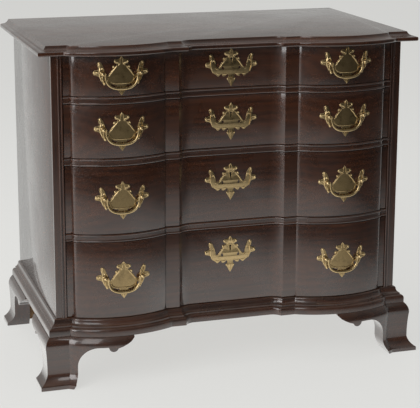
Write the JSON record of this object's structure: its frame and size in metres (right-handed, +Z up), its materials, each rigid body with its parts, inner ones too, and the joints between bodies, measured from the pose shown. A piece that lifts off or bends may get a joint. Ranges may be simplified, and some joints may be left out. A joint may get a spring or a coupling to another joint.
{
  "type": "block front chest of drawers",
  "caption": "Low chest of graduated drawers with a blocked front: rounded end blocks, coved recess, moulded top, ogee bracket feet and pierced bail pulls.",
  "frame": {"origin": "on the floor under the middle of the chest's overall width and depth", "axes": "+X to the right of the chest seen from its front, +Y towards its back, +Z up"},
  "size_m": [0.931, 0.5468, 0.784],
  "materials": {
    "mahogany": "polished",
    "pine": "planed, unfinished",
    "brass": "old polished brass",
    "iron": "dark wrought iron"
  },
  "bodies": {
    "case": {"top_board": "mahogany", "side_right": "mahogany", "side_left": "mahogany", "stile_right": "mahogany", "stile_left": "mahogany", "base_moulding_front": "mahogany", "base_moulding_sides": "mahogany", "front_foot_right_face": "mahogany", "front_foot_left_face": "mahogany", "front_foot_right_side": "mahogany", "front_foot_left_side": "mahogany", "rear_foot_right": "mahogany", "rear_foot_left": "mahogany", "drawer_blade_1": "mahogany", "drawer_blade_2": "mahogany", "drawer_blade_3": "mahogany", "bottom_board": "pine", "back_boards": "pine", "drawer_runners": "pine", "foot_blocks": "pine"},
    "drawer_1": {"drawer_1_front": "mahogany", "drawer_1_sides": "pine", "drawer_1_back": "pine", "drawer_1_bottom": "pine", "drawer_1_plates": "brass", "drawer_1_posts": "brass", "drawer_1_lock_case": "iron"},
    "drawer_1_bail_left": {"drawer_1_bail_left": "brass"},
    "drawer_1_bail_right": {"drawer_1_bail_right": "brass"},
    "drawer_1_lock_bolt": {"drawer_1_lock_bolt": "iron"},
    "drawer_2": {"drawer_2_front": "mahogany", "drawer_2_sides": "pine", "drawer_2_back": "pine", "drawer_2_bottom": "pine", "drawer_2_plates": "brass", "drawer_2_posts": "brass", "drawer_2_lock_case": "iron"},
    "drawer_2_bail_left": {"drawer_2_bail_left": "brass"},
    "drawer_2_bail_right": {"drawer_2_bail_right": "brass"},
    "drawer_2_lock_bolt": {"drawer_2_lock_bolt": "iron"},
    "drawer_3": {"drawer_3_front": "mahogany", "drawer_3_sides": "pine", "drawer_3_back": "pine", "drawer_3_bottom": "pine", "drawer_3_plates": "brass", "drawer_3_posts": "brass", "drawer_3_lock_case": "iron"},
    "drawer_3_bail_left": {"drawer_3_bail_left": "brass"},
    "drawer_3_bail_right": {"drawer_3_bail_right": "brass"},
    "drawer_3_lock_bolt": {"drawer_3_lock_bolt": "iron"},
    "drawer_4": {"drawer_4_front": "mahogany", "drawer_4_sides": "pine", "drawer_4_back": "pine", "drawer_4_bottom": "pine", "drawer_4_plates": "brass", "drawer_4_posts": "brass", "drawer_4_lock_case": "iron"},
    "drawer_4_bail_left": {"drawer_4_bail_left": "brass"},
    "drawer_4_bail_right": {"drawer_4_bail_right": "brass"},
    "drawer_4_lock_bolt": {"drawer_4_lock_bolt": "iron"}
  },
  "joints": [
    {"name": "drawer_1_slide", "type": "slide", "parent": "case", "child": "drawer_1", "axis": [0, -1, 0], "range_m": [0, 0.33]},
    {"name": "drawer_1_bail_left_swing", "type": "hinge", "parent": "drawer_1", "child": "drawer_1_bail_left", "pos_m": [-0.268, -0.24677, 0.72175], "axis": [-1, 0, 0], "range_deg": [0, 170]},
    {"name": "drawer_1_bail_right_swing", "type": "hinge", "parent": "drawer_1", "child": "drawer_1_bail_right", "pos_m": [0.268, -0.24677, 0.72175], "axis": [-1, 0, 0], "range_deg": [0, 170]},
    {"name": "drawer_1_lock_bolt_throw", "type": "slide", "parent": "drawer_1", "child": "drawer_1_lock_bolt", "axis": [0, 0, 1], "range_m": [0, 0.008]},
    {"name": "drawer_2_slide", "type": "slide", "parent": "case", "child": "drawer_2", "axis": [0, -1, 0], "range_m": [0, 0.33]},
    {"name": "drawer_2_bail_left_swing", "type": "hinge", "parent": "drawer_2", "child": "drawer_2_bail_left", "pos_m": [-0.268, -0.24677, 0.59625], "axis": [-1, 0, 0], "range_deg": [0, 170]},
    {"name": "drawer_2_bail_right_swing", "type": "hinge", "parent": "drawer_2", "child": "drawer_2_bail_right", "pos_m": [0.268, -0.24677, 0.59625], "axis": [-1, 0, 0], "range_deg": [0, 170]},
    {"name": "drawer_2_lock_bolt_throw", "type": "slide", "parent": "drawer_2", "child": "drawer_2_lock_bolt", "axis": [0, 0, 1], "range_m": [0, 0.008]},
    {"name": "drawer_3_slide", "type": "slide", "parent": "case", "child": "drawer_3", "axis": [0, -1, 0], "range_m": [0, 0.33]},
    {"name": "drawer_3_bail_left_swing", "type": "hinge", "parent": "drawer_3", "child": "drawer_3_bail_left", "pos_m": [-0.268, -0.24677, 0.4385], "axis": [-1, 0, 0], "range_deg": [0, 170]},
    {"name": "drawer_3_bail_right_swing", "type": "hinge", "parent": "drawer_3", "child": "drawer_3_bail_right", "pos_m": [0.268, -0.24677, 0.4385], "axis": [-1, 0, 0], "range_deg": [0, 170]},
    {"name": "drawer_3_lock_bolt_throw", "type": "slide", "parent": "drawer_3", "child": "drawer_3_lock_bolt", "axis": [0, 0, 1], "range_m": [0, 0.008]},
    {"name": "drawer_4_slide", "type": "slide", "parent": "case", "child": "drawer_4", "axis": [0, -1, 0], "range_m": [0, 0.33]},
    {"name": "drawer_4_bail_left_swing", "type": "hinge", "parent": "drawer_4", "child": "drawer_4_bail_left", "pos_m": [-0.268, -0.24677, 0.25175], "axis": [-1, 0, 0], "range_deg": [0, 170]},
    {"name": "drawer_4_bail_right_swing", "type": "hinge", "parent": "drawer_4", "child": "drawer_4_bail_right", "pos_m": [0.268, -0.24677, 0.25175], "axis": [-1, 0, 0], "range_deg": [0, 170]},
    {"name": "drawer_4_lock_bolt_throw", "type": "slide", "parent": "drawer_4", "child": "drawer_4_lock_bolt", "axis": [0, 0, 1], "range_m": [0, 0.008]}
  ]
}
